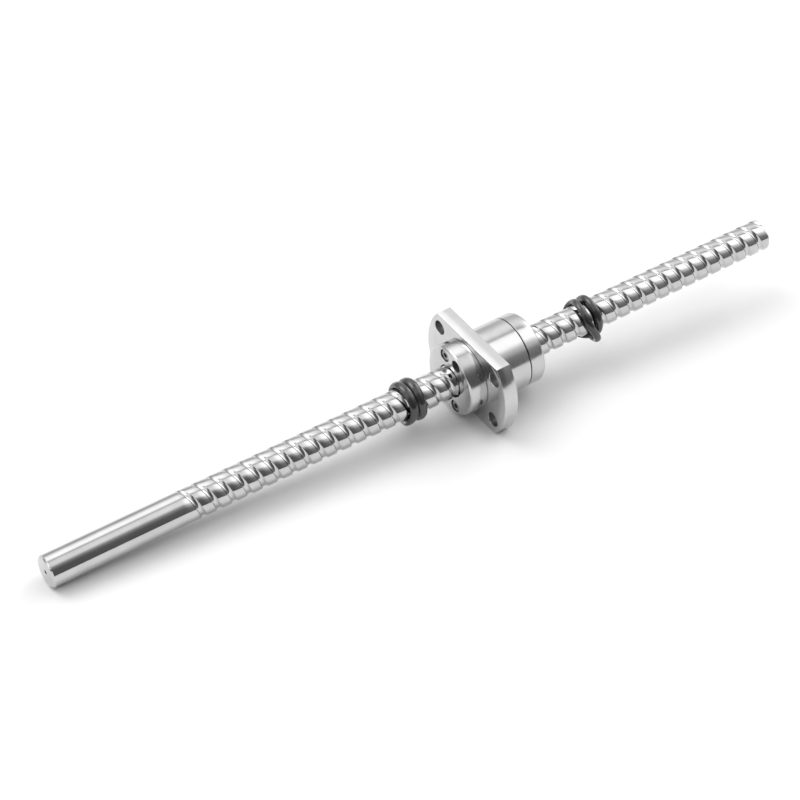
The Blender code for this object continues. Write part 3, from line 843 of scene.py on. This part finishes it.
# (direction's X from and to, degrees above the back horizon from and to, brightness)
LAMPS = ((-0.50, -0.04, 44, 80, 3.4), (0.66, 0.92, 48, 78, 4.2))
LAMP_SOFT_X = 0.06
LAMP_SOFT_SHARE = 0.03
BACKDROP = 0.97                      # what the camera itself sees behind the floor
CAMERA_AZIMUTH = math.radians(-34.19)
CAMERA_ELEVATION = math.radians(43.80)
CAMERA_ROLL = math.radians(-0.09)
CAMERA_DISTANCE = 756.8 * MM
CAMERA_AIM = Vector((-8.1, 1.6, 0)) * MM
CAMERA_LENS = 118.1


def plain_material(name, value, roughness):
    material, _, shader = new_material(name)
    shader.inputs["Base Color"].default_value = (value, value, value, 1)
    shader.inputs["Roughness"].default_value = roughness
    shader.inputs["Specular IOR Level"].default_value = 0.1
    return material


def build_floor():
    """The assembly rests on the flange's lower flat and on the journal's end, so the floor is tilted."""
    left = Vector((screw_start + SCREW_END_CHAMFER, 0, -screw_radius))
    right = Vector((flange_front + FLANGE_EDGE, 0, -flange_half))
    along = (right - left).normalized()
    up = Vector((-along.z, 0, along.x))
    bm = bmesh.new()
    turn = Matrix((along, (0, 1, 0), up)).transposed().to_4x4()
    bmesh.ops.create_grid(
        bm, x_segments=1, y_segments=1, size=FLOOR_SIZE,
        matrix=Matrix.Translation(left - up * FLOOR_GAP) @ turn)
    mesh = to_mesh("floor", bm)
    mesh.materials.append(plain_material("floor_white", FLOOR_TONE, 0.6))
    link("floor", mesh)


def band_ramp(nodes, share, bands):
    """Brightness by height round the screw's axis: (degrees above the back horizon, value) pairs."""
    ramp = nodes.add("ShaderNodeValToRGB")
    nodes.link(share, ramp.inputs[0])
    elements = ramp.color_ramp.elements
    while len(elements) < len(bands):
        elements.new(0.5)
    for element, (degrees, value) in zip(elements, bands):
        element.position = degrees / 180
        element.color = (*(value / RAMP_TOP for _ in range(3)), 1)
    return ramp.outputs["Color"]


def window(nodes, value, low, high, soft):
    """One between low and high, falling smoothly to zero over soft on both sides."""
    rise = nodes.add("ShaderNodeMapRange", interpolation_type="SMOOTHSTEP")
    fall = nodes.add("ShaderNodeMapRange", interpolation_type="SMOOTHSTEP")
    for node, start, end in ((rise, low - soft, low + soft), (fall, high + soft, high - soft)):
        node.inputs["From Min"].default_value = start
        node.inputs["From Max"].default_value = end
        nodes.link(value, node.inputs["Value"])
    return nodes.math("MULTIPLY", rise.outputs[0], fall.outputs[0])


def build_world():
    """A studio: light from behind and above, a dark side towards the viewer and two bright lamps."""
    world = bpy.data.worlds.new("studio")
    bpy.context.scene.world = world
    world.use_nodes = True
    world.node_tree.nodes.clear()
    nodes = Nodes(world.node_tree)
    coordinates = nodes.add("ShaderNodeTexCoord")
    split = nodes.add("ShaderNodeSeparateXYZ")
    nodes.link(coordinates.outputs["Generated"], split.inputs[0])
    angle = nodes.math("ARCTAN2", split.outputs[1], split.outputs[2])
    share = nodes.math("SUBTRACT", 0.5, nodes.math("DIVIDE", angle, math.pi))
    left = band_ramp(nodes, share, LEFT_LIGHT)
    right = band_ramp(nodes, share, RIGHT_LIGHT)
    blend = nodes.add("ShaderNodeMapRange", interpolation_type="SMOOTHSTEP")
    blend.inputs["From Min"].default_value = LIGHT_BLEND[0]
    blend.inputs["From Max"].default_value = LIGHT_BLEND[1]
    nodes.link(split.outputs[0], blend.inputs["Value"])
    mixed = nodes.add("ShaderNodeMix", data_type="RGBA")
    nodes.link(blend.outputs[0], mixed.inputs["Factor"])
    nodes.link(left, mixed.inputs["A"])
    nodes.link(right, mixed.inputs["B"])
    total = nodes.math("MULTIPLY", mixed.outputs["Result"], RAMP_TOP)
    for x_low, x_high, low, high, power in LAMPS:
        lamp = nodes.math(
            "MULTIPLY", window(nodes, split.outputs[0], x_low, x_high, LAMP_SOFT_X),
            window(nodes, share, low / 180, high / 180, LAMP_SOFT_SHARE))
        total = nodes.math("ADD", total, nodes.math("MULTIPLY", lamp, power))
    light = nodes.add("ShaderNodeBackground")
    nodes.link(total, light.inputs["Strength"])
    plain = nodes.add("ShaderNodeBackground")
    plain.inputs["Color"].default_value = (BACKDROP, BACKDROP, BACKDROP, 1)
    path = nodes.add("ShaderNodeLightPath")
    mix = nodes.add("ShaderNodeMixShader")
    nodes.link(path.outputs["Is Camera Ray"], mix.inputs[0])
    nodes.link(light.outputs[0], mix.inputs[1])
    nodes.link(plain.outputs[0], mix.inputs[2])
    output = nodes.add("ShaderNodeOutputWorld")
    nodes.link(mix.outputs[0], output.inputs["Surface"])


def build_camera():
    level = math.cos(CAMERA_ELEVATION)
    back = Vector((
        math.sin(CAMERA_AZIMUTH) * level, -math.cos(CAMERA_AZIMUTH) * level, math.sin(CAMERA_ELEVATION)))
    data = bpy.data.cameras.new("camera")
    data.sensor_width = 36
    data.lens = CAMERA_LENS
    data.clip_start, data.clip_end = 0.01, 20
    camera = bpy.data.objects.new("camera", data)
    bpy.context.scene.collection.objects.link(camera)
    camera.rotation_mode = "QUATERNION"
    camera.location = CAMERA_AIM + back * CAMERA_DISTANCE
    roll = Matrix.Rotation(CAMERA_ROLL, 4, "Z").to_quaternion()
    camera.rotation_quaternion = (-back).to_track_quat("-Z", "Y") @ roll
    bpy.context.scene.camera = camera


build_floor()
build_world()
build_camera()
bpy.context.scene.view_settings.view_transform = "Standard"
bpy.context.scene.view_settings.look = "None"
